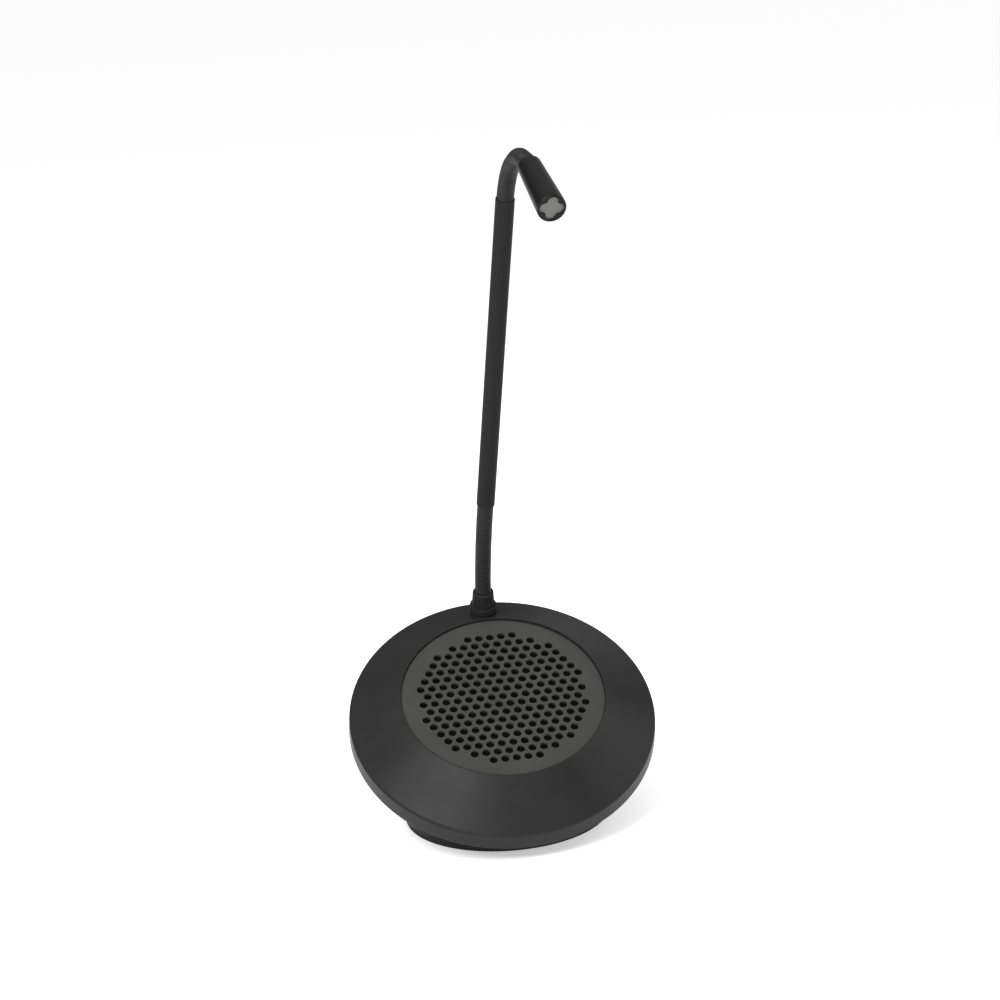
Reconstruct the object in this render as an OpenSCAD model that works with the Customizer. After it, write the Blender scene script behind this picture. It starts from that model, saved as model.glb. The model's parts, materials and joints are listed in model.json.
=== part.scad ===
// Gooseneck podium microphone with a talk-back loudspeaker in its round base.
// Millimetres. +Z is up and -Y is the talker's side. The origin is the centre of the foot pad's
// underside, on the table.
// The loudspeaker housing is a saucer that leans towards the talker on a round pedestal. The neck
// has a short flex, a straight tube and a second flex, which carries the microphone head.

/* [Loudspeaker housing] */
// Diameter of the housing at its crease, where the cone meets the side wall
rim_d = 148; // [136:1:180]
// Lean of the housing towards the talker, in degrees from level
housing_tilt = 30.5; // [26:0.5:37]
// Height of the side wall, square to the housing
side_h = 9; // [7:0.5:14]
// Height of the cone above the crease
cone_h = 14.7; // [12:0.1:20]
// Wall of the moulded housing
shell_wall = 2.2; // [1.6:0.1:3]
// Gap between the front lip and the table
lip_clearance = 6.7; // [4:0.1:20]
// Thickness of the closing pan under the housing
pan_t = 2.4; // [2:0.1:3.2]

/* [Grille] */
// Diameter of the perforated plate
grille_d = 97.6; // [80:0.1:112]
// Thickness of the perforated plate
grille_t = 1.2; // [0.8:0.1:2]
// Depth of the plate below the crown of the housing
grille_recess = 1.2; // [0.6:0.1:3]
// Distance between neighbouring sound holes
hole_pitch = 5.5; // [4.5:0.1:8]
// Diameter of a sound hole
hole_d = 3.9; // [2:0.1:4.2]
// Thickness of the acoustic cloth under the plate
cloth_t = 0.4; // [0.3:0.1:0.8]

/* [Pedestal] */
// Diameter of the pedestal and its foot pad
foot_d = 100; // [82:1:122]
// Wall of the pedestal
pedestal_wall = 2.5; // [2:0.1:4]
// Thickness of the rubber foot pad
pad_t = 2.5; // [1.5:0.1:4]
// Thickness of the steel ballast plate
ballast_t = 5; // [3:0.5:8]
// Thickness of the flange that carries the housing
flange_t = 3; // [2.5:0.1:5]

/* [Loudspeaker] */
// Diameter of the ring magnet
magnet_d = 52; // [40:1:56]
// Thickness of the ring magnet
magnet_t = 10; // [6:0.5:12]
// Outside diameter of the voice coil former
coil_d = 25.8; // [20:0.1:28]
// Width of the rubber surround
surround_w = 6; // [5:0.5:8]

/* [Electronics] */
// Thickness of the circuit board
board_t = 1.6; // [1:0.1:2]
// Height of the board above the ballast plate
board_lift = 5; // [4:0.5:7]
// Width of the link socket
jack_w = 16; // [14:0.5:18]
// Height of the link socket
jack_h = 13.4; // [12:0.1:15]
// Length of the link socket
jack_l = 18; // [15:0.5:20]

/* [Neck] */
// Lean of the neck's boot towards the talker, in degrees from upright
boot_lean = 22; // [5:1:30]
// Diameter of the boot's base
boot_d = 13.2; // [12:0.1:16]
// Height of the boot above the housing, on its own axis
boot_h = 14.5; // [12:0.5:20]
// Outside diameter of the flexes
flex_d = 7.9; // [6.5:0.1:9.5]
// Length of the lower flex
lower_flex_l = 52; // [42:1:80]
// Outside diameter of the tube between the flexes
tube_d = 8.8; // [8.5:0.1:11]
// Wall of that tube
tube_wall = 0.8; // [0.5:0.1:1]
// Length of that tube
tube_l = 162; // [100:1:240]
// Length of the upper flex
upper_flex_l = 52; // [42:1:80]
// Diameter of the microphone lead inside the neck
lead_d = 3; // [2:0.1:3.2]

/* [Neck as it stands] */
// Forward bend of the lower flex over its length, in degrees
lower_bend = -3; // [-20:0.1:20]
// Sideways bend of the lower flex, in degrees
lower_side = 4; // [-15:0.1:15]
// Forward bend of the upper flex, in degrees
upper_bend = 93.4; // [0:0.1:100]
// Sideways bend of the upper flex, in degrees
upper_side = 7.3; // [-15:0.1:15]

/* [Microphone head] */
// Length of the head
head_l = 37; // [30:0.5:50]
// Diameter of the head at the neck
head_rear_d = 10.5; // [9.8:0.1:14]
// Diameter of the head at its sound opening
head_front_d = 12.7; // [12.2:0.1:18]
// Wall of the head
head_wall = 0.9; // [0.7:0.1:1.2]
// Diameter of each of the four lobes of the sound opening
lobe_d = 5; // [4:0.1:5.4]
// Diameter of the microphone capsule
capsule_d = 9.7; // [6:0.1:9.7]

/* [Hidden] */
$fn = 96;
LINKS_LOWER = 6;
LINKS_UPPER = 8;

// Clearances
fit = 0.05;             // between pieces that seat in each other
slip = 0.25;            // between pieces that drop into each other
air = 0.35;             // between a piece that moves and one that doesn't
lap = 4;                // how far a flange or ledge laps the piece it carries

// Finishes
SHELL = "#39393a";
PLATE = "#4d4d4b";
BLACK = "#1c1c1d";
STEEL = "#9a9b9d";
BRASS = "#b08d45";
BOARD = "#1f5a3a";
PALE = "#c3c3bf";
LEAD = "#2e2e30";

// Housing, in its own frame: z = 0 is the lower edge of the side wall
rim_r = rim_d / 2;
rim_draft = 0.3;
crease_round = 2;
edge_round = 0.8;
top_z = side_h + cone_h;
grille_r = grille_d / 2;
seat_r = grille_r + slip;
crown_r = seat_r + 0.7;
cone_slope = cone_h / (rim_r - crown_r);
plate_z = top_z - grille_recess - grille_t;
ledge_t = 2;
ledge_r = grille_r - lap - 1.3;
field_r = ledge_r - 1.5;
wall_drop = shell_wall * sqrt(1 + cone_slope * cone_slope);
hub_z = lip_clearance + (rim_r + rim_draft) * sin(housing_tilt);

function cone_z(r) = top_z - cone_slope * (r - crown_r);

// Pan and its screws
pan_z = 0.6;
pan_r = rim_r - shell_wall - slip;
pan_boss_r = 3.4;
pan_screw_place_r = rim_r - 11;
pan_screw_n = 6;
head_r = 2.6;
head_h = 1.3;
screw_r = 1.25;
screw_l = 8;

// Loudspeaker, in the housing's frame
gasket_t = 1;
speaker_z = plate_z - ledge_t - gasket_t;
speaker_r = ledge_r + lap;
basket_r = ledge_r - 2;
frame_t = 1.2;
gap = 0.4;
coil_r = coil_d / 2;
former_t = 0.4;
magnet_r = magnet_d / 2;
motor_z = 1;
front_plate_t = 3.5;
magnet_z = motor_z - front_plate_t - magnet_t;
pole_plate_t = 3;
pole_r = coil_r - former_t - gap;
gap_r = coil_r + gap;
basket_floor_r = magnet_r + 1;
pan_hole_r = magnet_r + 7;
spider_z = 5;
spider_r = basket_floor_r - 2;
coil_top_z = spider_z + 2;
cone_r = basket_r - frame_t - fit - surround_w;
cone_top_z = speaker_z - frame_t - 0.6;
cone_t = 0.6;

// Height of the speaker cone's upper face
function cone_face_z(r) = coil_top_z + cone_t * 2
    + (cone_top_z - coil_top_z - cone_t * 2) * (r - coil_r) / (cone_r - cone_t - coil_r);

spk_screw_n = 4;
spk_screw_place_r = (basket_r + speaker_r) / 2 + 0.6;
spk_screw_r = 1.2;

// Pedestal
foot_r = foot_d / 2;
foot_in_r = foot_r - pedestal_wall;
ballast_r = foot_in_r - slip;
ballast_z = pad_t;
ballast_top = ballast_z + ballast_t;
post_r = 4.5;
post_place = (foot_in_r - post_r + 0.4) / sqrt(2);
post_h = 8;
base_screw_r = 1.5;
base_head_r = 3;
base_head_h = 2;
access_r = base_head_r + 0.5;
ballast_head_z = ballast_z + base_head_h + 0.2;
ballast_screw_l = ballast_top - ballast_head_z + post_h - 1.8;
flange_screw_n = 4;
flange_screw_place_r = (pan_hole_r + foot_in_r) / 2;

// Board and socket
board_z = ballast_top + board_lift;
board_top = board_z + board_t;
board_half_w = post_place - post_r - 1.5;
board_front = -8;
board_back = post_place + 1;
board_screw_x = board_half_w - 4;
board_screw_front = board_front + 4;
board_screw_back = board_back - 12;
spacer_r = 2.5;
board_screw_r = 1;
parts_x = board_screw_x - 2.5;      // how far out the parts beside the screws reach
mic_header = [parts_x - 7.7, 3];
mic_header_size = [7, 5, 3];
speaker_header = [-parts_x, board_back - 18];
speaker_header_size = [8, 6, 3.2];
header_slack = 0.7;
jack_back = sqrt(foot_r * foot_r - jack_w * jack_w / 4) - 0.4;
jack_front = jack_back - jack_l;
jack_wall = 1.6;
tab_w = jack_w + 4;
tab_back = jack_back - 4.5;

// Boot, on its own axis: z = 0 where the axis leaves the housing
boot_r = boot_d / 2;
boot_y = crown_r + boot_r + 1.1;
seat_drop = 3.6;
seat_boss_t = 3;
stem_r = 4.4;
washer_r = 6.6;
washer_t = 0.8;
nut_af = 11;
nut_t = 2.6;
stem_l = seat_boss_t + washer_t + nut_t + 0.4;
collar_z = boot_h * 0.43;
collar_low_r = boot_r - 0.95;
collar_top_r = boot_r - 1.4;
flex_r = flex_d / 2;
root_l = 8;
lead_turn = 18.8;       // from the back, where the lead goes through the pan

// Flexes: hinges stand one pitch apart, and half a pitch of flex is fixed at each end
hinges_lower = LINKS_LOWER + 1;
hinges_upper = LINKS_UPPER + 1;
lower_pitch = lower_flex_l / hinges_lower;
upper_pitch = upper_flex_l / hinges_upper;
lower_rim = 0.75;       // from a hinge to the ribs beside it
upper_rim = 0.85;
lower_side_n = 3;
upper_side_n = 3;
rib_pitch = 1.15;
rib_h = 0.3;
flex_core_r = flex_r - 0.45;
lead_r = lead_d / 2;
ball_r = flex_r - 1.2;
cup_r = ball_r + air - fit;
ball_top = sqrt(ball_r * ball_r - lead_r * lead_r);

function is_lower_side(k) = k % 2 == 0;
function is_upper_side(k) = k % 3 == 2;
function lower_turn(k) = is_lower_side(k)
    ? [0, lower_side / lower_side_n, 0]
    : [lower_bend / (hinges_lower - lower_side_n), 0, 0];
function upper_turn(k) = is_upper_side(k)
    ? [0, upper_side / upper_side_n, 0]
    : [upper_bend / (hinges_upper - upper_side_n), 0, 0];

// Tube and head
tube_r = tube_d / 2;
plug_r = tube_r - tube_wall - fit;
plug_l = 9;
head_rear_r = head_rear_d / 2;
head_front_r = head_front_d / 2;
ferrule_l = 7;
ferrule_r = head_rear_r - head_wall - fit;
cap_l = 3.2;
capsule_r = capsule_d / 2;
capsule_l = 6;
holder_wall = 0.6;
holder_l = 8;
holder_z = head_l - cap_l - holder_l - 0.8;
screen_t = 0.5;
lobe_n = 4;
lobe_place_r = head_front_r - head_wall - lobe_d / 2 - 0.1;
eye_r = lobe_place_r - lobe_d / 2 + 1.6;    // joins the lobes in the middle
cap_t = 0.8;
bore_z = ferrule_l + 4;

function barrel_bore_r(z) = ferrule_r + fit
    + (head_front_r - head_wall - ferrule_r - fit) * max(0, z - bore_z) / (head_l - cap_l - bore_z);

// Points of a round corner at b between the straight edges from a and to c, with radius r
function corner(a, b, c, r, n = 6) =
    let (u = (a - b) / norm(a - b), v = (c - b) / norm(c - b),
         half = acos(u * v) / 2,
         d = r / tan(half),
         m = b + (u + v) / norm(u + v) * r / sin(half),
         p = b + u * d - m, q = b + v * d - m,
         ap = atan2(p[1], p[0]), sweep = (atan2(q[1], q[0]) - ap + 540) % 360 - 180)
    [for (i = [0 : n]) m + r * [cos(ap + sweep * i / n), sin(ap + sweep * i / n)]];

// Frames
module in_housing() {
    translate([0, 0, hub_z]) rotate([housing_tilt, 0, 0]) children();
}

module in_boot() {
    in_housing() translate([0, boot_y, cone_z(boot_y)])
        rotate([boot_lean - housing_tilt, 0, 0]) children();
}

// Frame after hinge k of the lower flex, with its origin at the hinge
module in_lower(k) {
    if (k == 0) in_boot() translate([0, 0, boot_h - lower_pitch / 2]) children();
    else in_lower(k - 1) translate([0, 0, lower_pitch]) rotate(lower_turn(k)) children();
}

// Frame of the tube, with its origin at the tube's lower end
module in_tube() {
    in_lower(hinges_lower) translate([0, 0, lower_pitch / 2]) children();
}

// Frame after hinge k of the upper flex
module in_upper(k) {
    if (k == 0) in_tube() translate([0, 0, tube_l - upper_pitch / 2]) children();
    else in_upper(k - 1) translate([0, 0, upper_pitch]) rotate(upper_turn(k)) children();
}

// Frame of the head, with its origin at its rear end
module in_head() {
    in_upper(hinges_upper) translate([0, 0, upper_pitch / 2]) children();
}

// Shared shapes
module ring(r_out, r_in, h) {
    linear_extrude(h) difference() {
        circle(r_out);
        circle(r_in);
    }
}

module around(n, r, turn = 0) {
    for (i = [0 : n - 1]) rotate(turn + 360 * i / n) translate([r, 0, 0]) children();
}

// A screw that points up, with the underside of its head at z = 0
module screw_up(r, l, hr, hh) {
    difference() {
        union() {
            cylinder(r = r, h = l);
            translate([0, 0, -hh]) cylinder(r = hr, h = hh);
        }
        translate([0, 0, -hh - 0.1]) cylinder(r = hr * 0.45, h = hh * 0.6 + 0.1, $fn = 6);
    }
}

module screw_down(r, l, hr, hh) {
    mirror([0, 0, 1]) screw_up(r, l, hr, hh);
}

// A solid length of flex along +Z with ribs all round
module sleeve(z0, z1) {
    turns = max(1, floor((z1 - z0) / rib_pitch));
    step = (z1 - z0) / turns;
    rib_w = step * 0.3;
    rotate_extrude() polygon(concat(
        [[0, z0], [flex_core_r, z0]],
        [for (i = [0 : turns - 1]) each [
            [i == 0 ? flex_core_r : flex_r - rib_h, z0 + step * i + rib_w / 2],
            [flex_r, z0 + step * (i + 0.5) - rib_w / 2],
            [flex_r, z0 + step * (i + 0.5) + rib_w / 2],
            [i == turns - 1 ? flex_core_r : flex_r - rib_h, z0 + step * (i + 1) - rib_w / 2]]],
        [[flex_core_r, z1], [0, z1]]));
}

// The cup that turns about a hinge at the origin, with the bore of the lead above it
module cup(bore_l) {
    sphere(cup_r);
    cylinder(r = lead_r, h = bore_l);
}

// One link of a flex from its own hinge to the next, with its slice of the microphone lead
module link(pitch, rim) {
    color(BLACK) difference() {
        union() {
            sleeve(rim, pitch - rim);
            translate([0, 0, pitch]) sphere(ball_r);
        }
        cup(pitch * 2);
    }
    color(LEAD) translate([0, 0, cup_r]) cylinder(r = lead_r - fit, h = pitch + ball_top - cup_r);
}

// A round cable swept along straight runs between the points
module cable(points, r, sides = 8) {
    last = len(points) - 1;
    dirs = [for (i = [0 : last])
        let (d = points[min(i + 1, last)] - points[max(i - 1, 0)]) d / norm(d)];
    side = [for (d = dirs) let (s = cross(d, [1, 0, 0])) s / norm(s)];
    rings = [for (i = [0 : last]) for (j = [0 : sides - 1])
        let (a = 360 * j / sides)
        points[i] + r * (cos(a) * side[i] + sin(a) * cross(dirs[i], side[i]))];
    walls = [for (i = [0 : last - 1]) for (j = [0 : sides - 1])
        let (n = (j + 1) % sides, b = i * sides)
        [b + j, b + j + sides, b + n + sides, b + n]];
    polyhedron(rings, concat(walls,
        [[for (j = [0 : sides - 1]) j], [for (j = [sides - 1 : -1 : 0]) last * sides + j]]));
}

// Points of a smooth curve through four guide points
function curve(a, b, c, d, n) = [for (i = [0 : n]) let (t = i / n, s = 1 - t)
    s * s * s * a + 3 * s * s * t * b + 3 * s * t * t * c + t * t * t * d];

function housing_point(p) = [p[0],
    p[1] * cos(housing_tilt) - p[2] * sin(housing_tilt),
    hub_z + p[1] * sin(housing_tilt) + p[2] * cos(housing_tilt)];

// Housing
module pan_screw_places() {
    around(pan_screw_n, pan_screw_place_r) children();
}

module flange_places() {
    around(flange_screw_n, flange_screw_place_r, 45) children();
}

module upper_shell() {
    inner_top = plate_z - ledge_t;
    inner_r = crown_r + (top_z - wall_drop - inner_top) / cone_slope;
    crease_in = rim_r - shell_wall;
    crease_in_z = cone_z(crease_in) - wall_drop;
    color(SHELL) difference() {
        union() {
            in_housing() rotate_extrude() polygon(concat(
                [[ledge_r, inner_top], [ledge_r, plate_z], [seat_r, plate_z], [seat_r, top_z]],
                [[crown_r - 0.2, top_z], [crown_r, top_z - 0.12]],
                corner([crown_r, top_z], [rim_r, side_h], [rim_r + rim_draft, 0], crease_round),
                corner([rim_r, side_h], [rim_r + rim_draft, 0], [rim_r - shell_wall, 0], edge_round),
                [[crease_in, 0], [crease_in, crease_in_z], [inner_r, inner_top]]));
            in_housing() pan_screw_places() translate([0, 0, pan_z + pan_t])
                cylinder(r = pan_boss_r, h = cone_z(pan_screw_place_r + pan_boss_r) - pan_z - pan_t - 0.5);
            intersection() {
                in_boot() translate([0, 0, -seat_drop - seat_boss_t])
                    cylinder(r = washer_r + 1.5, h = seat_boss_t + seat_drop * 2);
                in_housing() rotate_extrude() polygon(
                    [[0, 0], [rim_r, 0], [rim_r, side_h], [crown_r, top_z], [seat_r, top_z],
                     [seat_r, inner_top - 6], [0, inner_top - 6]]);
            }
        }
        in_housing() pan_screw_places() cylinder(r = screw_r + fit, h = pan_z + pan_t + screw_l);
        in_housing() around(spk_screw_n, spk_screw_place_r)
            translate([0, 0, plate_z - ledge_t - 1])
            cylinder(r = spk_screw_r + fit, h = 1 + ledge_t - 0.5);
        in_boot() translate([0, 0, -seat_drop]) cylinder(r = boot_r + fit, h = 20);
        in_boot() translate([0, 0, -seat_drop - seat_boss_t - 1])
            cylinder(r = stem_r + fit, h = seat_boss_t + 2);
    }
}

module grille_plate() {
    reach = ceil(field_r / hole_pitch) + 1;
    row_h = hole_pitch * sqrt(3) / 2;
    color(PLATE) in_housing() translate([0, 0, plate_z]) linear_extrude(grille_t) difference() {
        circle(grille_r);
        for (row = [-reach : reach], i = [-reach : reach]) {
            p = [hole_pitch * (i + (row % 2) / 2), row_h * row];
            if (norm(p) + hole_d / 2 <= field_r) translate(p) circle(d = hole_d, $fn = 32);
        }
    }
}

module acoustic_cloth() {
    color("#151515") in_housing() translate([0, 0, plate_z - cloth_t])
        cylinder(r = ledge_r - slip, h = cloth_t);
}

module lower_pan() {
    color(BLACK) in_housing() translate([0, 0, pan_z]) difference() {
        cylinder(r = pan_r, h = pan_t);
        translate([0, 0, -1]) cylinder(r = pan_hole_r, h = pan_t + 2);
        pan_screw_places() {
            translate([0, 0, -1]) cylinder(r = screw_r + slip, h = pan_t + 2);
            translate([0, 0, -1]) cylinder(r = head_r + slip, h = head_h + 1);
        }
        flange_places() translate([0, 0, -1]) cylinder(r = base_screw_r + slip, h = pan_t + 2);
    }
}

module pan_screws() {
    color(STEEL) in_housing() pan_screw_places() translate([0, 0, pan_z + head_h])
        screw_up(screw_r, screw_l, head_r, head_h - 0.1);
}

module flange_screws() {
    color(STEEL) in_housing() flange_places() translate([0, 0, pan_z + pan_t])
        screw_down(base_screw_r, pan_t + flange_t - 0.4, base_head_r, base_head_h);
}

// Pedestal and what stands in it
module below_housing(drop) {
    big = foot_d * 2;
    in_housing() translate([-big, -big, pan_z - drop - big * 2]) cube([big * 2, big * 2, big * 2]);
}

module pedestal() {
    tall = hub_z + foot_d;
    color(BLACK) difference() {
        intersection() {
            union() {
                translate([0, 0, pad_t]) ring(foot_r, foot_in_r, tall);
                for (x = [-1, 1], y = [-1, 1]) translate([x * post_place, y * post_place, ballast_top])
                    cylinder(r = post_r, h = post_h);
                intersection() {
                    translate([0, 0, pad_t]) cylinder(r = foot_in_r + 0.5, h = tall);
                    in_housing() translate([0, 0, pan_z - flange_t])
                        ring(rim_r, pan_hole_r, flange_t);
                }
            }
            below_housing(0);
        }
        for (x = [-1, 1], y = [-1, 1]) translate([x * post_place, y * post_place, ballast_top - 1])
            cylinder(r = base_screw_r + fit, h = post_h);
        in_housing() flange_places() translate([0, 0, pan_z - flange_t - 1])
            cylinder(r = base_screw_r + fit, h = flange_t + 2);
        translate([-jack_w / 2 - slip, 0, board_top - slip])
            cube([jack_w + 2 * slip, foot_d, jack_h + 2 * slip]);
    }
}

module ballast_plate() {
    color(STEEL) translate([0, 0, ballast_z]) difference() {
        cylinder(r = ballast_r, h = ballast_t);
        for (x = [-1, 1], y = [-1, 1]) translate([x * post_place, y * post_place, -1]) {
            cylinder(r = base_screw_r + slip, h = ballast_t + 2);
            cylinder(r = base_head_r + slip, h = ballast_head_z - ballast_z + 1);
        }
        board_places() translate([0, 0, -1]) cylinder(r = board_screw_r + fit, h = ballast_t + 2);
    }
}

module ballast_screws() {
    color(STEEL) for (x = [-1, 1], y = [-1, 1])
        translate([x * post_place, y * post_place, ballast_head_z])
        screw_up(base_screw_r, ballast_screw_l, base_head_r, base_head_h);
}

module foot_pad() {
    color("#161616") difference() {
        rotate_extrude() polygon(concat(
            [[0, 0]], corner([0, 0], [foot_r, 0], [foot_r, pad_t], 0.6), [[foot_r, pad_t], [0, pad_t]]));
        for (x = [-1, 1], y = [-1, 1]) translate([x * post_place, y * post_place, -1])
            cylinder(r = access_r, h = pad_t + 2);
    }
}

// Loudspeaker
module speaker_gasket() {
    color("#222222") in_housing() translate([0, 0, speaker_z]) difference() {
        ring(speaker_r, ledge_r - 1, gasket_t);
        around(spk_screw_n, spk_screw_place_r) translate([0, 0, -1])
            cylinder(r = spk_screw_r + slip, h = gasket_t + 2);
    }
}

module speaker_frame() {
    flange_z = speaker_z - frame_t;
    shelf_z = spider_z - frame_t;
    window_z = shelf_z + 1.5;
    color(STEEL) in_housing() difference() {
        rotate_extrude() polygon([
            [gap_r + 4, motor_z], [basket_floor_r, motor_z], [basket_floor_r, shelf_z],
            [basket_floor_r + frame_t, shelf_z], [basket_r, flange_z], [speaker_r, flange_z],
            [speaker_r, speaker_z], [basket_r, speaker_z],
            [basket_r - frame_t, speaker_z - frame_t], [basket_floor_r, spider_z],
            [spider_r - 1, spider_z], [spider_r - 1, shelf_z], [basket_floor_r - frame_t, shelf_z],
            [basket_floor_r - frame_t, motor_z + frame_t], [gap_r + 4, motor_z + frame_t]]);
        around(4, basket_r - 6, 45) translate([-9, -9, window_z]) cube([18, 18, flange_z - window_z - 1.5]);
        around(spk_screw_n, spk_screw_place_r) translate([0, 0, flange_z - 1])
            cylinder(r = spk_screw_r + slip, h = frame_t + 2);
    }
}

module speaker_screws() {
    color(STEEL) in_housing() around(spk_screw_n, spk_screw_place_r)
        translate([0, 0, speaker_z - frame_t])
        screw_up(spk_screw_r, frame_t + gasket_t + ledge_t - 0.8, 2.2, 1.3);
}

module speaker_surround() {
    roll_r = surround_w / 2 - 1.1;
    mid = cone_r + surround_w / 2 + 0.1;
    lip_z = speaker_z - frame_t;
    color("#121212") in_housing() rotate_extrude() difference() {
        union() {
            translate([cone_r + air, lip_z + 0.1]) square([surround_w - air - 0.1, 0.7]);
            translate([mid, lip_z + 0.1]) circle(roll_r + 0.6);
        }
        translate([mid, lip_z + 0.1]) circle(roll_r);
        translate([cone_r - 5, lip_z - surround_w * 2 + 0.1]) square([surround_w + 10, surround_w * 2]);
    }
}

module speaker_spider() {
    color("#b28a4a") in_housing() translate([0, 0, spider_z]) rotate_extrude() polygon([
        [coil_r + air, 0.1], [coil_r + air + 3, 0.6], [spider_r - 4, 0.1], [spider_r - 2, 0.4],
        [spider_r, 0], [basket_floor_r - 0.3, 0], [basket_floor_r - 0.3, 0.5], [spider_r, 0.5],
        [spider_r - 2, 0.9], [spider_r - 4, 0.6], [coil_r + air + 3, 1.1], [coil_r + air, 0.6]]);
}

module speaker_cone() {
    color("#1b1b1b") in_housing() rotate_extrude() polygon([
        [coil_r, coil_top_z], [coil_r + cone_t, coil_top_z], [cone_r, cone_top_z - cone_t],
        [cone_r, cone_top_z], [cone_r - cone_t, cone_top_z], [coil_r, coil_top_z + cone_t * 2]]);
}

module dust_cap() {
    rise = 3.5;
    base_r = coil_r + 2.5;
    dome_r = (base_r * base_r + rise * rise) / (2 * rise);
    seat_z = cone_face_z(base_r) + fit;
    color("#101010") in_housing() translate([0, 0, seat_z]) intersection() {
        translate([0, 0, rise - dome_r]) difference() {
            sphere(dome_r);
            sphere(dome_r - 0.5);
        }
        cylinder(r = base_r, h = rise + 1);
    }
}

module voice_coil() {
    coil_l = coil_top_z - motor_z + front_plate_t + 1.5;
    color("#a8642f") in_housing() translate([0, 0, coil_top_z - coil_l])
        ring(coil_r, coil_r - former_t, coil_l + cone_t * 2);
}

module front_plate() {
    color(STEEL) in_housing() translate([0, 0, motor_z - front_plate_t])
        ring(magnet_r - 2, gap_r, front_plate_t);
}

module ring_magnet() {
    color("#2b2b2d") in_housing() translate([0, 0, magnet_z]) ring(magnet_r, gap_r + 1.5, magnet_t);
}

module pole_plate() {
    color(STEEL) in_housing() translate([0, 0, magnet_z - pole_plate_t]) union() {
        cylinder(r = magnet_r - 1, h = pole_plate_t);
        cylinder(r = pole_r, h = pole_plate_t + magnet_t + front_plate_t);
    }
}

module speaker_terminals() {
    color("#6b5a35") in_housing() translate([-6, basket_floor_r, motor_z]) union() {
        cube([12, 1.2, 2.4]);
        for (x = [2, 9.2]) translate([x, 1, 0.6]) cube([0.8, 3.4, 1.2]);
    }
}

module speaker_leads() {
    color("#8c2f2a") for (s = [-1, 1]) {
        start = [s * 3.6, basket_floor_r + 3.8, motor_z - 0.1];
        finish = [speaker_header[0] + speaker_header_size[0] / 2 + s * 2,
            speaker_header[1] + speaker_header_size[1] / 2,
            board_top + speaker_header_size[2] + header_slack];
        cable(curve(housing_point(start), housing_point(start - [0, 0, 26]),
                    finish + [0, 14, 22], finish, 16), 0.6, 6);
    }
}

// Electronics
module board_places() {
    for (s = [-1, 1], y = [board_screw_front, board_screw_back])
        translate([s * board_screw_x, y, 0]) children();
}

module circuit_board() {
    color(BOARD) translate([0, 0, board_z]) difference() {
        union() {
            translate([-board_half_w, board_front, 0])
                cube([board_half_w * 2, board_back - board_front, board_t]);
            translate([-tab_w / 2, 0, 0]) cube([tab_w, tab_back, board_t]);
        }
        board_places() translate([0, 0, -1]) cylinder(r = board_screw_r + slip, h = board_t + 2);
    }
}

module board_parts() {
    color(BLACK) translate([0, 0, board_top]) union() {
        translate([1.5 - parts_x, -2, 0]) cube([9, 9, 1.4]);
        translate([-1, 0, 0]) cube([5, 5, 1.2]);
        translate(mic_header) cube(mic_header_size);
        translate(speaker_header) cube(speaker_header_size);
        translate([jack_w / 2 + 6.5, board_back - 5, 0]) cylinder(r = 4, h = 9);
        translate([4.5 - board_half_w, 4, 0]) cylinder(r = 3, h = 7);
        for (i = [0 : 4]) translate([-12 + 3 * i, -4, 0]) cube([1.6, 0.8, 0.6]);
    }
}

module board_spacers() {
    color(BRASS) board_places() translate([0, 0, ballast_top])
        ring(spacer_r, board_screw_r + fit, board_lift);
}

module board_screws() {
    color(STEEL) board_places() translate([0, 0, board_top])
        screw_down(board_screw_r, board_t + board_lift + 3, 2, 1.2);
}

module link_socket() {
    mouth_w = jack_w - 2 * jack_wall;
    mouth_h = jack_h - 2 * jack_wall;
    color("#2a2a2a") translate([0, 0, board_top]) difference() {
        translate([-jack_w / 2, jack_front, 0]) cube([jack_w, jack_l, jack_h]);
        translate([-mouth_w / 2, jack_front + 3, jack_wall + 1.2]) cube([mouth_w, jack_l, mouth_h - 1.2]);
        translate([-3, jack_front + 6, jack_wall - 0.6]) cube([6, jack_l, 3]);
    }
}

// Neck
module neck_boot() {
    dome_z = boot_h - 1.6;
    color(BLACK) in_boot() difference() {
        rotate_extrude() polygon(concat(
            [[0, -seat_drop - stem_l], [stem_r, -seat_drop - stem_l], [stem_r, -seat_drop],
             [boot_r, -seat_drop]],
            corner([boot_r, 0], [boot_r, collar_z], [collar_low_r, collar_z], 0.5),
            [[collar_low_r, collar_z], [collar_top_r, dome_z]],
            corner([collar_top_r, dome_z], [collar_top_r, boot_h], [0, boot_h], 1.2),
            [[0, boot_h]]));
        translate([0, 0, boot_h - root_l]) cylinder(r = flex_r + fit, h = root_l + 1);
        translate([0, 0, -seat_drop - stem_l - 1])
            cylinder(r = lead_r, h = seat_drop + stem_l + boot_h);
    }
}

module boot_washer() {
    color(STEEL) in_boot() translate([0, 0, -seat_drop - seat_boss_t - washer_t])
        ring(washer_r, stem_r + slip, washer_t);
}

module boot_nut() {
    color(STEEL) in_boot() translate([0, 0, -seat_drop - seat_boss_t - washer_t - nut_t])
        linear_extrude(nut_t) difference() {
            circle(r = nut_af / sqrt(3), $fn = 6);
            circle(stem_r + fit);
        }
}

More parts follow.
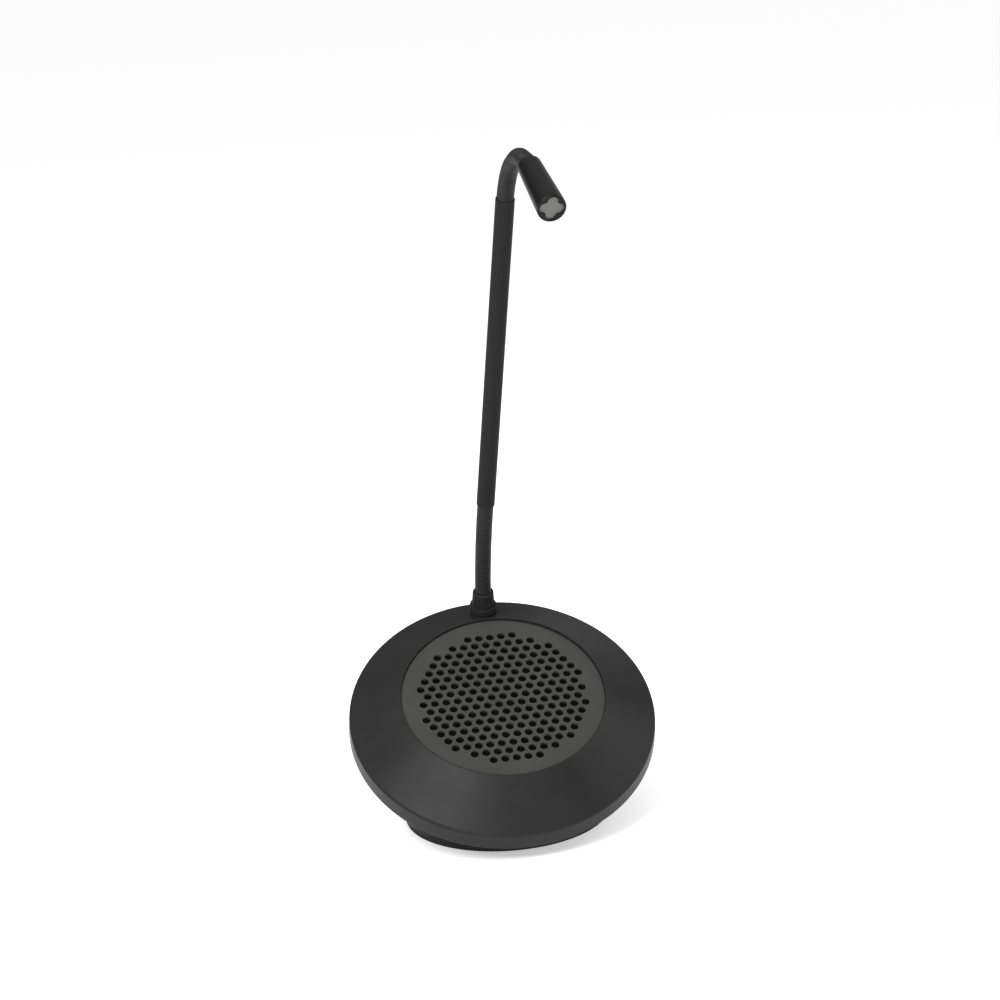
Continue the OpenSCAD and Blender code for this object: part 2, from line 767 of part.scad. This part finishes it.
// The lead that runs down the boot and across the base to the circuit board
module base_lead() {
    lean = boot_lean - housing_tilt;
    function boot_point(z) = housing_point([0, boot_y - z * sin(lean),
        cone_z(boot_y) + z * cos(lean)]);
    function spoke(r, z) = housing_point([r * sin(lead_turn), r * cos(lead_turn), z]);
    top = boot_point(boot_h + lower_pitch / 2 + ball_top);
    low = boot_point(-seat_drop - stem_l - 1);
    lying_z = pan_z + pan_t + lead_r + 0.3;
    pass = [pan_hole_r - 1.4, lying_z - 0.4];
    finish = [mic_header[0] + mic_header_size[0] / 2, mic_header[1] + mic_header_size[1] / 2,
        board_top + mic_header_size[2] + header_slack];
    color(LEAD) cable(concat(
        [top],
        curve(low, boot_point(-seat_drop - stem_l - 3), spoke(pan_hole_r + 18, lying_z),
              spoke(pan_hole_r + 10, lying_z), 7),
        curve(spoke(pan_hole_r + 7, lying_z), spoke(pan_hole_r + 5, lying_z + 0.6),
              spoke(pass[0] + 1.8, pass[1] + 1.8), spoke(pass[0], pass[1]), 4),
        curve(spoke(pass[0] - 0.6, pass[1] - 0.7), spoke(pass[0] - 1.2, pass[1] - 1.4),
              spoke(pan_hole_r - 3.1, 0), spoke(pan_hole_r - 3.1, -4), 4),
        curve(spoke(pan_hole_r - 3.1, -6), spoke(pan_hole_r - 3.1, magnet_z - pole_plate_t - 11.5),
              finish + [0, 5, 11], finish, 10)), lead_r - 0.3);
}

module lower_flex_root() {
    hinge_z = boot_h + lower_pitch / 2;
    color(BLACK) in_boot() difference() {
        union() {
            sleeve(boot_h - root_l, hinge_z - lower_rim);
            translate([0, 0, hinge_z]) sphere(ball_r);
        }
        cylinder(r = lead_r, h = hinge_z * 2);
    }
}

module lower_link(k) {
    in_lower(k) link(lower_pitch, lower_rim);
}

module neck_tube() {
    color(BLACK) in_tube() ring(tube_r, tube_r - tube_wall, tube_l);
}

module tube_lower_plug() {
    color(BLACK) in_tube() difference() {
        union() {
            sleeve(lower_rim - lower_pitch / 2, 0);
            cylinder(r = plug_r, h = plug_l);
        }
        translate([0, 0, -lower_pitch / 2]) cup(lower_pitch + plug_l);
    }
}

module tube_upper_plug() {
    hinge_z = upper_pitch / 2;
    color(BLACK) in_tube() translate([0, 0, tube_l]) difference() {
        union() {
            translate([0, 0, -plug_l]) cylinder(r = plug_r, h = plug_l);
            sleeve(0, hinge_z - upper_rim);
            translate([0, 0, hinge_z]) sphere(ball_r);
        }
        translate([0, 0, -plug_l - 1]) cylinder(r = lead_r, h = plug_l * 2 + upper_pitch);
    }
}

module tube_lead() {
    low = cup_r - lower_pitch / 2;
    high = tube_l + upper_pitch / 2 + ball_top;
    color(LEAD) in_tube() translate([0, 0, low]) cylinder(r = lead_r - fit, h = high - low);
}

module upper_link(k) {
    in_upper(k) link(upper_pitch, upper_rim);
}

// Microphone head
module head_lead() {
    low = cup_r - upper_pitch / 2;
    color(LEAD) in_head() translate([0, 0, low])
        cylinder(r = lead_r - fit, h = holder_z - 0.7 - low);
}

module head_ferrule() {
    color(BLACK) in_head() difference() {
        union() {
            sleeve(upper_rim - upper_pitch / 2, 0);
            cylinder(r = ferrule_r, h = ferrule_l);
        }
        translate([0, 0, -upper_pitch / 2]) cup(upper_pitch + ferrule_l);
    }
}

module head_barrel() {
    seat_l = head_l - cap_l;
    color(BLACK) in_head() rotate_extrude() polygon(concat(
        [[ferrule_r + fit, 0]],
        corner([0, 0], [head_rear_r, 0], [head_front_r, seat_l], 0.7),
        [[head_front_r, seat_l], [head_front_r - head_wall, seat_l],
         [ferrule_r + fit, bore_z]]));
}

module capsule_holder() {
    color("#191919") in_head() translate([0, 0, holder_z]) difference() {
        cylinder(r1 = barrel_bore_r(holder_z) - fit,
                 r2 = barrel_bore_r(holder_z + holder_l) - fit, h = holder_l);
        translate([0, 0, holder_l - capsule_l]) cylinder(r = capsule_r + fit, h = capsule_l + 1);
        translate([0, 0, -1]) cylinder(r = capsule_r - 1.2, h = holder_l);
    }
}

module mic_capsule() {
    color(STEEL) in_head() translate([0, 0, holder_z + holder_l - capsule_l]) difference() {
        union() {
            cylinder(r = capsule_r, h = capsule_l);
            for (s = [-1, 1]) translate([s * 1.3, 0, -2.4]) cylinder(r = 0.35, h = 3);
        }
        translate([0, 0, capsule_l - 0.4]) around(3, 1.8) cylinder(r = 0.5, h = 1);
    }
}

module mic_screen() {
    color(PALE) in_head() translate([0, 0, head_l - cap_t - fit - screen_t])
        cylinder(r = head_front_r - head_wall - fit, h = screen_t);
}

module head_cap() {
    inner = head_front_r - head_wall;
    color(BLACK) in_head() translate([0, 0, head_l - cap_l]) difference() {
        rotate_extrude() polygon(concat(
            [[0, 0]], [[head_front_r, 0]],
            corner([head_front_r, 0], [head_front_r, cap_l], [0, cap_l], 0.6), [[0, cap_l]]));
        translate([0, 0, -1]) cylinder(r = inner, h = cap_l + 1 - cap_t);
        around(lobe_n, lobe_place_r) cylinder(d = lobe_d, h = cap_l + 1);
        cylinder(r = eye_r, h = cap_l + 1);
    }
}

upper_shell();
grille_plate();
acoustic_cloth();
lower_pan();
pan_screws();
flange_screws();
pedestal();
ballast_plate();
ballast_screws();
foot_pad();
speaker_gasket();
speaker_frame();
speaker_screws();
speaker_surround();
speaker_spider();
speaker_cone();
dust_cap();
voice_coil();
front_plate();
ring_magnet();
pole_plate();
speaker_terminals();
speaker_leads();
circuit_board();
board_parts();
board_spacers();
board_screws();
link_socket();
neck_boot();
boot_washer();
boot_nut();
base_lead();
lower_flex_root();
for (k = [1 : LINKS_LOWER]) lower_link(k);
neck_tube();
tube_lower_plug();
tube_upper_plug();
tube_lead();
for (k = [1 : LINKS_UPPER]) upper_link(k);
head_lead();
head_ferrule();
head_barrel();
capsule_holder();
mic_capsule();
mic_screen();
head_cap();
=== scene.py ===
"""Looks of the gooseneck podium microphone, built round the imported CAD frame.

The CAD nodes get their materials here. The two flexes are drawn as ribbed sleeves in place of
their links. Lengths are in metres in the row's frame, and MM turns millimetres into metres.
"""

import json
import math

import bmesh
import bpy
from mathutils import Matrix, Vector

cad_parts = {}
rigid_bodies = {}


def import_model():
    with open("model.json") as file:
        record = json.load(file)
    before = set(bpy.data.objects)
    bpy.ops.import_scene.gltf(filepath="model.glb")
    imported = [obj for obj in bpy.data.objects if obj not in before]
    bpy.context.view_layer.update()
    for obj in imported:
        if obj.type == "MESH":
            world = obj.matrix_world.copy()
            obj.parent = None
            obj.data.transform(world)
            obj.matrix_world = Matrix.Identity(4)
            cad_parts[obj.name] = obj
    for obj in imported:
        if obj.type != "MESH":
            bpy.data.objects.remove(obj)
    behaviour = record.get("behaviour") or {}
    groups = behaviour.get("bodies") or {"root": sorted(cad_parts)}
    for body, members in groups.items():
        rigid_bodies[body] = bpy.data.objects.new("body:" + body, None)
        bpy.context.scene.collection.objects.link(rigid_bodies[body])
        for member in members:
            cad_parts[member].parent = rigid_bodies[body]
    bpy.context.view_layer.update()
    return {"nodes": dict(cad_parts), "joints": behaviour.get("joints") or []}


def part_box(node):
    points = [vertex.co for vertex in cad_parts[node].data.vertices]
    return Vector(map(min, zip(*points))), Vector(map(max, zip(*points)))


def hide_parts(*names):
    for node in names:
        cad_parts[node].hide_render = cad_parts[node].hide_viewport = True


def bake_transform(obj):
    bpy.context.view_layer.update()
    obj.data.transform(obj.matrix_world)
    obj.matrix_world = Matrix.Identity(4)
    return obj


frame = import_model()

MM = 0.001
NODES = frame["nodes"]
JOINTS = {j["name"]: j for j in frame["joints"]}


# ---------------------------------------------------------------- camera
# Viewing angle of the photograph: elevation, turn and roll in degrees, then the offset of the
# object's origin from the lens, in millimetres to the right, down and away.
VIEW_ELEVATION, VIEW_TURN, VIEW_ROLL = 14.659, -8.066, -3.938
VIEW_OFFSET = Vector((3.916, 152.714, 1191.903)) * MM
LENS_MM, SENSOR_MM = 87.48, 36.0


def make_camera():
    e, a, r = (math.radians(v) for v in (VIEW_ELEVATION, VIEW_TURN, VIEW_ROLL))
    ahead = -Vector((math.sin(a) * math.cos(e), -math.cos(a) * math.cos(e), math.sin(e)))
    level = ahead.cross(Vector((0, 0, 1))).normalized()
    rise = level.cross(ahead)
    right = level * math.cos(r) + rise * math.sin(r)
    up = rise * math.cos(r) - level * math.sin(r)
    rows = Matrix((right, -up, ahead))
    data = bpy.data.cameras.new("camera")
    data.lens, data.sensor_width = LENS_MM, SENSOR_MM
    data.clip_start, data.clip_end = 0.05, 20
    cam = bpy.data.objects.new("camera", data)
    bpy.context.scene.collection.objects.link(cam)
    turn = Matrix((right, up, -ahead)).transposed().to_4x4()
    cam.matrix_world = Matrix.Translation(-(rows.transposed() @ VIEW_OFFSET)) @ turn
    bpy.context.scene.camera = cam


make_camera()


# ---------------------------------------------------------------- frames of the object
def centre(node):
    """The middle of a CAD node's box."""
    low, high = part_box(node)
    return (low + high) / 2


def chain(prefix, kinds):
    """Positions of a flex's hinges in order, and the names of the bodies they join."""
    points, bodies = [], []
    for i, kind in enumerate(kinds):
        count = kinds[:i + 1].count(kind)
        name = f"{prefix}_{kind}" if count == 1 else f"{prefix}_{kind}_{count}"
        points.append(Vector(JOINTS[name]["pos_m"]))
        bodies.append((JOINTS[name]["parent"], JOINTS[name]["child"]))
    return points, bodies


# The hinges from the boot to the tube, then from the tube to the head.
LOWER, LOWER_BODIES = chain("lower", ["bend", "side"] * 3 + ["bend"])
UPPER, UPPER_BODIES = chain("upper", ["bend", "side", "bend"] * 3)
X_LOWER = Vector(JOINTS["lower_bend"]["axis"])
LOWER_PITCH = (LOWER[1] - LOWER[0]).length
UPPER_PITCH = (UPPER[1] - UPPER[0]).length
BOOT_AXIS = (LOWER[0] - centre("boot_washer")).normalized()
TUBE_AXIS = (UPPER[0] - LOWER[-1]).normalized()
HEAD_AXIS = (centre("head_cap") - UPPER[-1]).normalized()

# Where each flex starts and ends: half a link short of its first hinge and past its last one.
boot_high = LOWER[0] - BOOT_AXIS * LOWER_PITCH / 2
tube_low = LOWER[-1] + TUBE_AXIS * LOWER_PITCH / 2
tube_high = UPPER[0] - TUBE_AXIS * UPPER_PITCH / 2
head_low = UPPER[-1] + HEAD_AXIS * UPPER_PITCH / 2


# ---------------------------------------------------------------- materials
# Size of the broad patches in a surface's colour and gloss, in millimetres.
PATCH = 25
# A wave texture's scale times its period.
WAVE = 0.314


def nodes_of(name):
    """A new material with an empty Principled shader."""
    m = bpy.data.materials.new(name)
    m.use_nodes = True
    tree = m.node_tree
    tree.nodes.clear()
    out = tree.nodes.new("ShaderNodeOutputMaterial")
    shader = tree.nodes.new("ShaderNodeBsdfPrincipled")
    tree.links.new(shader.outputs[0], out.inputs[0])
    return m, tree, shader


def add(tree, kind, **values):
    n = tree.nodes.new(kind)
    for key, v in values.items():
        setattr(n, key, v)
    return n


def noise(tree, coords, scale, detail):
    n = add(tree, "ShaderNodeTexNoise")
    n.inputs["Scale"].default_value = scale
    n.inputs["Detail"].default_value = detail
    n.inputs["Roughness"].default_value = 0.55
    tree.links.new(coords, n.inputs["Vector"])
    return n.outputs[0]


def ramp(tree, value, stops):
    """The value turned into colours or greys between two stops of (position, colour)."""
    n = add(tree, "ShaderNodeValToRGB")
    for e, (at, c) in zip(n.color_ramp.elements, stops):
        e.position = at
        e.color = (*c, 1) if isinstance(c, tuple) else (c, c, c, 1)
    tree.links.new(value, n.inputs[0])
    return n.outputs[0]


def bump(tree, shader, height, strength, depth):
    """Bump of the given depth in millimetres."""
    n = add(tree, "ShaderNodeBump")
    n.inputs["Strength"].default_value = strength
    n.inputs["Distance"].default_value = depth * MM
    tree.links.new(height, n.inputs["Height"])
    tree.links.new(n.outputs[0], shader.inputs["Normal"])


def scaled(colour, k):
    return tuple(min(1.0, c * k) for c in colour)


def finish(name, colour, rough, metallic=0.0, grain=0.5, depth=0.02, strength=0.4, mottle=0.08,
           rough_spread=0.06, coat=0.0, specular=0.5, stretch=(1, 1, 1)):
    """A moulded, coated or rubbery surface: fine grain in relief, mottled colour, uneven gloss.

    grain is the size of the texture in millimetres and depth its relief.
    """
    m, tree, shader = nodes_of(name)
    coords = add(tree, "ShaderNodeTexCoord").outputs["Object"]
    stretched = add(tree, "ShaderNodeMapping")
    stretched.inputs["Scale"].default_value = stretch
    tree.links.new(coords, stretched.inputs["Vector"])
    fine = noise(tree, stretched.outputs[0], 1 / (grain * MM), 4)
    broad = noise(tree, stretched.outputs[0], 1 / (PATCH * MM), 3)
    tree.links.new(
        ramp(tree, broad, [(0.3, scaled(colour, 1 - mottle)), (0.7, scaled(colour, 1 + mottle))]),
        shader.inputs["Base Color"])
    tree.links.new(
        ramp(tree, broad, [(0.3, max(0.02, rough - rough_spread)), (0.7, rough + rough_spread)]),
        shader.inputs["Roughness"])
    shader.inputs["Metallic"].default_value = metallic
    shader.inputs["Specular IOR Level"].default_value = specular
    if coat:
        shader.inputs["Coat Weight"].default_value = coat
        shader.inputs["Coat Roughness"].default_value = 0.2
    bump(tree, shader, fine, strength, depth)
    return m


def woven(name, colour, gap_colour, pitch, rough=0.8, depth=0.1, metallic=0.0, strength=0.6,
          specular=0.5):
    """Crossing threads at the given pitch in millimetres, in the plate's plane."""
    m, tree, shader = nodes_of(name)
    coords = add(tree, "ShaderNodeTexCoord").outputs["Object"]
    waves = []
    for direction in ("X", "Z"):
        w = add(tree, "ShaderNodeTexWave", wave_type="BANDS", bands_direction=direction,
                wave_profile="SIN")
        w.inputs["Scale"].default_value = WAVE / (pitch * MM)
        tree.links.new(coords, w.inputs["Vector"])
        waves.append(w.outputs["Fac"])
    both = add(tree, "ShaderNodeMath", operation="MAXIMUM")
    tree.links.new(waves[0], both.inputs[0])
    tree.links.new(waves[1], both.inputs[1])
    tree.links.new(ramp(tree, both.outputs[0], [(0.35, gap_colour), (0.75, colour)]),
                   shader.inputs["Base Color"])
    shader.inputs["Roughness"].default_value = rough
    shader.inputs["Metallic"].default_value = metallic
    shader.inputs["Specular IOR Level"].default_value = specular
    bump(tree, shader, both.outputs[0], strength, depth)
    return m


SHELL = finish("shell_plastic", (0.0147, 0.0147, 0.0148), 0.39, grain=0.35, depth=0.03,
               strength=0.35, specular=0.105)
PLATE_PAINT = finish("plate_paint", (0.0352, 0.0349, 0.0334), 0.42, grain=0.25, depth=0.02,
                     specular=0.12)
BASE = finish("base_plastic", (0.0190, 0.0190, 0.0192), 0.42, grain=0.35, depth=0.03,
              specular=0.1)
PAN = finish("pan_paint", (0.018, 0.018, 0.019), 0.45, grain=0.3, depth=0.02)
NECK = finish("neck_black", (0.0138, 0.0138, 0.0140), 0.5, grain=0.15, depth=0.01, strength=0.25,
              specular=0.04)
FLEX = finish("flex_black", (0.0145, 0.0145, 0.0147), 0.42, grain=0.12, depth=0.01, strength=0.25,
              specular=0.12)
# The head is black, and its colour is made darker than the neck's as painted shade, standing in
# for the weak light on its top.
HEAD_BLACK_WITH_PAINTED_SHADE = finish("head_black", (0.0040, 0.0040, 0.0041), 0.38, grain=0.12, depth=0.01,
                    strength=0.25, specular=0.15)
RUBBER = finish("rubber", (0.010, 0.010, 0.010), 0.75, grain=0.4, depth=0.04, specular=0.3)
FOAM = finish("foam", (0.014, 0.014, 0.014), 0.9, grain=0.8, depth=0.3, strength=0.8, specular=0.2)
JACKET = finish("lead_jacket", (0.022, 0.022, 0.023), 0.5, grain=0.5, depth=0.02)
SOCKET = finish("socket_plastic", (0.018, 0.018, 0.018), 0.32, grain=0.3, depth=0.01)
STEEL = finish("zinc_steel", (0.45, 0.45, 0.46), 0.34, metallic=1.0, grain=0.3, depth=0.01,
               strength=0.3, mottle=0.12, rough_spread=0.1)
BALLAST = finish("ballast_steel", (0.32, 0.32, 0.33), 0.42, metallic=1.0, grain=0.6, depth=0.02,
                 mottle=0.15, rough_spread=0.12, stretch=(1, 8, 1))
FERRITE = finish("ferrite", (0.030, 0.030, 0.032), 0.6, grain=0.4, depth=0.05, mottle=0.2)
COPPER = finish("copper_winding", (0.55, 0.20, 0.08), 0.35, metallic=1.0, grain=0.3, depth=0.05,
                stretch=(1, 1, 12))
PHENOLIC = finish("phenolic", (0.20, 0.12, 0.045), 0.55, grain=0.6, depth=0.02, mottle=0.2)
BOARD = finish("solder_mask", (0.012, 0.085, 0.035), 0.28, grain=0.8, depth=0.01, mottle=0.15,
               coat=0.4)
PARTS = finish("components", (0.016, 0.016, 0.017), 0.5, grain=0.3, depth=0.02)
BRASS = finish("brass", (0.55, 0.38, 0.12), 0.3, metallic=1.0, grain=0.3, depth=0.01,
               stretch=(1, 1, 10))
PAPER = finish("cone_paper", (0.016, 0.016, 0.016), 0.85, grain=0.9, depth=0.12, strength=0.7,
               specular=0.25)
SPIDER = woven("spider_cloth", (0.46, 0.27, 0.09), (0.25, 0.13, 0.04), 0.6)
# The acoustic cloth is black, and its colour is made darker still as painted shade, so the
# grille's holes read as deep shadow.
CLOTH_WITH_PAINTED_SHADE = woven("acoustic_cloth", (0.0020, 0.0020, 0.0020), (0.0006, 0.0006, 0.0006), 0.5,
              specular=0.03)
SCREEN = woven("screen_mesh", (0.132, 0.132, 0.129), (0.05, 0.05, 0.049), 0.32, rough=0.5,
               metallic=0.35, depth=0.06)
CAPSULE = finish("nickel", (0.55, 0.54, 0.52), 0.3, metallic=1.0, grain=0.2, depth=0.01)

LOOKS = {
    "upper_shell": SHELL, "grille_plate": PLATE_PAINT, "acoustic_cloth": CLOTH_WITH_PAINTED_SHADE,
    "lower_pan": PAN, "pan_screws": STEEL, "flange_screws": STEEL, "pedestal": BASE,
    "ballast_plate": BALLAST, "ballast_screws": STEEL, "foot_pad": RUBBER,
    "speaker_gasket": FOAM, "speaker_frame": STEEL, "speaker_screws": STEEL,
    "speaker_surround": RUBBER, "speaker_spider": SPIDER, "speaker_cone": PAPER,
    "dust_cap": PAPER, "voice_coil": COPPER, "front_plate": STEEL, "ring_magnet": FERRITE,
    "pole_plate": STEEL, "speaker_terminals": PHENOLIC, "speaker_leads": JACKET,
    "circuit_board": BOARD, "board_parts": PARTS, "board_spacers": BRASS,
    "board_screws": STEEL, "link_socket": SOCKET, "neck_boot": NECK, "boot_washer": STEEL,
    "boot_nut": STEEL, "base_lead": JACKET, "neck_tube": NECK, "tube_lead": JACKET,
    "head_lead": JACKET, "head_barrel": HEAD_BLACK_WITH_PAINTED_SHADE, "head_cap": HEAD_BLACK_WITH_PAINTED_SHADE,
    "capsule_holder": RUBBER, "mic_capsule": CAPSULE, "mic_screen": SCREEN,
}

for node, o in NODES.items():
    o.data.materials.clear()
    o.data.materials.append(LOOKS.get(node, FLEX))


# ---------------------------------------------------------------- flexes
# Radius over the ribs, and depth and width of the groove between two ribs, in millimetres.
FLEX_R, GROOVE, GROOVE_W = 3.95, 0.32, 0.13
# Where a rib has rings of vertices, from one groove to the next. They crowd near the grooves.
RIB_STEPS = (0.0, 0.07, 0.14, 0.3, 0.5, 0.7, 0.86, 0.93)
AROUND = 56
LOWER_RIBS, UPPER_RIBS = 6, 5
SHARP = math.radians(80)


def make_sleeve(name, verts, faces, replaced):
    """A smooth piece in the flex's material, in place of the CAD nodes it replaces."""
    mesh = bpy.data.meshes.new(name)
    mesh.from_pydata([tuple(v) for v in verts], [], faces)
    mesh.materials.append(FLEX)
    bm = bmesh.new()
    bm.from_mesh(mesh)
    bmesh.ops.recalc_face_normals(bm, faces=bm.faces)
    bm.to_mesh(mesh)
    bm.free()
    for p in mesh.polygons:
        p.use_smooth = True
    mesh.set_sharp_from_angle(angle=SHARP)
    o = bpy.data.objects.new(name, mesh)
    bpy.context.scene.collection.objects.link(o)
    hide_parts(*replaced)
    return o


def flex_rings(points, start, end, pitch, ribs):
    """Rings of vertices along the flex, one list for each hinge, from mid-link to mid-link.

    Each list follows a smooth curve through its hinge, with a number of ribs on it.
    """
    mids = [start]
    for a, b in zip(points, points[1:]):
        mids.append((a + b) / 2)
    mids.append(end)
    tangents = [(points[0] - start).normalized()]
    tangents += [(b - a).normalized() for a, b in zip(points, points[1:])]
    tangents.append((end - points[-1]).normalized())
    side = X_LOWER.cross(tangents[0]).normalized()
    groups = []
    for k in range(len(points)):
        a, d = mids[k], mids[k + 1]
        b, c = a + tangents[k] * pitch / 3, d - tangents[k + 1] * pitch / 3
        rings = []
        stops = [(i + s) / ribs for i in range(ribs) for s in RIB_STEPS] + [1.0]
        for t in stops:
            s = 1 - t
            at = a * s**3 + b * (3 * s * s * t) + c * (3 * s * t * t) + d * t**3
            along = ((b - a) * s * s + (c - b) * 2 * s * t + (d - c) * t * t).normalized()
            x = side.cross(along).normalized()
            side = along.cross(x)
            off = abs((t * ribs + 0.5) % 1 - 0.5) * pitch / ribs / MM
            r = (FLEX_R - GROOVE * math.exp(-(off / GROOVE_W) ** 2)) * MM
            ring = [at + (x * math.cos(2 * math.pi * i / AROUND)
                          + side * math.sin(2 * math.pi * i / AROUND)) * r
                    for i in range(AROUND)]
            rings.append(ring)
        groups.append(rings)
    return groups, mids


def make_flex(name, points, bodies, start, end, pitch, ribs, replaced):
    """One sleeve for each hinge, over the span from the mid-link before it to the mid-link after
    it.
    """
    groups, mids = flex_rings(points, start, end, pitch, ribs)
    for k, (rings, (a, b)) in enumerate(zip(groups, bodies)):
        verts = [v for ring in rings for v in ring]
        faces = []
        for i in range(len(rings) - 1):
            for j in range(AROUND):
                n = (j + 1) % AROUND
                faces.append((i * AROUND + j, i * AROUND + n,
                              (i + 1) * AROUND + n, (i + 1) * AROUND + j))
        sleeve = make_sleeve(f"{name}_sleeve_{k + 1}", verts, faces, replaced[k])
        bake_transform(sleeve)


make_flex("lower_flex", LOWER, LOWER_BODIES, boot_high, tube_low, LOWER_PITCH, LOWER_RIBS,
          [["lower_flex_root"]] + [[f"lower_link_{k}"] for k in range(1, 6)]
          + [["lower_link_6", "tube_lower_plug"]])
make_flex("upper_flex", UPPER, UPPER_BODIES, tube_high, head_low, UPPER_PITCH, UPPER_RIBS,
          [["tube_upper_plug"]] + [[f"upper_link_{k}"] for k in range(1, 8)]
          + [["upper_link_8", "head_ferrule"]])


# ---------------------------------------------------------------- stage
FLOOR_HALF = 60
FLOOR_GLOW = 0.45
SKY_EDGE, SKY_TOP = 0.02, 1.1
WALL = 0.92
# Name, place, aim, size and power in watts of each light.
LIGHTS = (
    ("key", (-0.60, -0.715, 1.09), (0, 0, 0.05), (0.8, 0.8), 23),
    ("fill", (1.3, -0.2, 0.85), (0, 0, 0.15), (1.1, 1.3), 9),
    ("front", (-0.35, -1.3, 0.22), (0, 0, 0.2), (0.4, 0.7), 4),
    ("back", (0.8, 1.3, 0.7), (0, 0, 0.08), (0.8, 0.6), 0.8),
)


def make_floor():
    """A white table that glows a little, as in a light tent."""
    m, tree, shader = nodes_of("floor")
    shader.inputs["Base Color"].default_value = (0.93, 0.93, 0.93, 1)
    shader.inputs["Roughness"].default_value = 0.9
    shader.inputs["Specular IOR Level"].default_value = 0.1
    shader.inputs["Emission Color"].default_value = (1, 1, 1, 1)
    shader.inputs["Emission Strength"].default_value = FLOOR_GLOW
    mesh = bpy.data.meshes.new("floor")
    s = FLOOR_HALF
    mesh.from_pydata([(-s, -s, 0), (s, -s, 0), (s, s, 0), (-s, s, 0)], [], [(0, 1, 2, 3)])
    mesh.materials.append(m)
    o = bpy.data.objects.new("floor", mesh)
    bpy.context.scene.collection.objects.link(o)


def make_light(name, at, aim, size, power):
    data = bpy.data.lights.new(name, "AREA")
    data.shape = "RECTANGLE"
    data.size, data.size_y = size
    data.energy = power
    o = bpy.data.objects.new(name, data)
    bpy.context.scene.collection.objects.link(o)
    o.location = at
    o.rotation_euler = (Vector(aim) - Vector(at)).to_track_quat("-Z", "Y").to_euler()


def make_world():
    """A sky that is bright overhead. Looked at directly, it is a plain pale wall."""
    world = bpy.data.worlds.new("studio")
    world.use_nodes = True
    tree = world.node_tree
    background = tree.nodes["Background"]
    background.inputs["Color"].default_value = (1, 1, 1, 1)
    split = tree.nodes.new("ShaderNodeSeparateXYZ")
    tree.links.new(tree.nodes.new("ShaderNodeTexCoord").outputs["Generated"], split.inputs[0])
    rise = add(tree, "ShaderNodeMath", operation="MAXIMUM")
    rise.inputs[1].default_value = 0.0
    tree.links.new(split.outputs["Z"], rise.inputs[0])
    square = add(tree, "ShaderNodeMath", operation="POWER")
    square.inputs[1].default_value = 2.0
    tree.links.new(rise.outputs[0], square.inputs[0])
    level = add(tree, "ShaderNodeMath", operation="MULTIPLY_ADD")
    level.inputs[1].default_value = SKY_TOP - SKY_EDGE
    level.inputs[2].default_value = SKY_EDGE
    tree.links.new(square.outputs[0], level.inputs[0])
    tree.links.new(level.outputs[0], background.inputs["Strength"])
    wall = add(tree, "ShaderNodeBackground")
    wall.inputs["Color"].default_value = (1, 1, 1, 1)
    wall.inputs["Strength"].default_value = WALL
    seen = add(tree, "ShaderNodeMixShader")
    tree.links.new(add(tree, "ShaderNodeLightPath").outputs["Is Camera Ray"], seen.inputs[0])
    tree.links.new(background.outputs[0], seen.inputs[1])
    tree.links.new(wall.outputs[0], seen.inputs[2])
    tree.links.new(seen.outputs[0], tree.nodes["World Output"].inputs["Surface"])
    bpy.context.scene.world = world


make_floor()
make_world()
for light in LIGHTS:
    make_light(*light)
bpy.context.scene.view_settings.view_transform = "Standard"
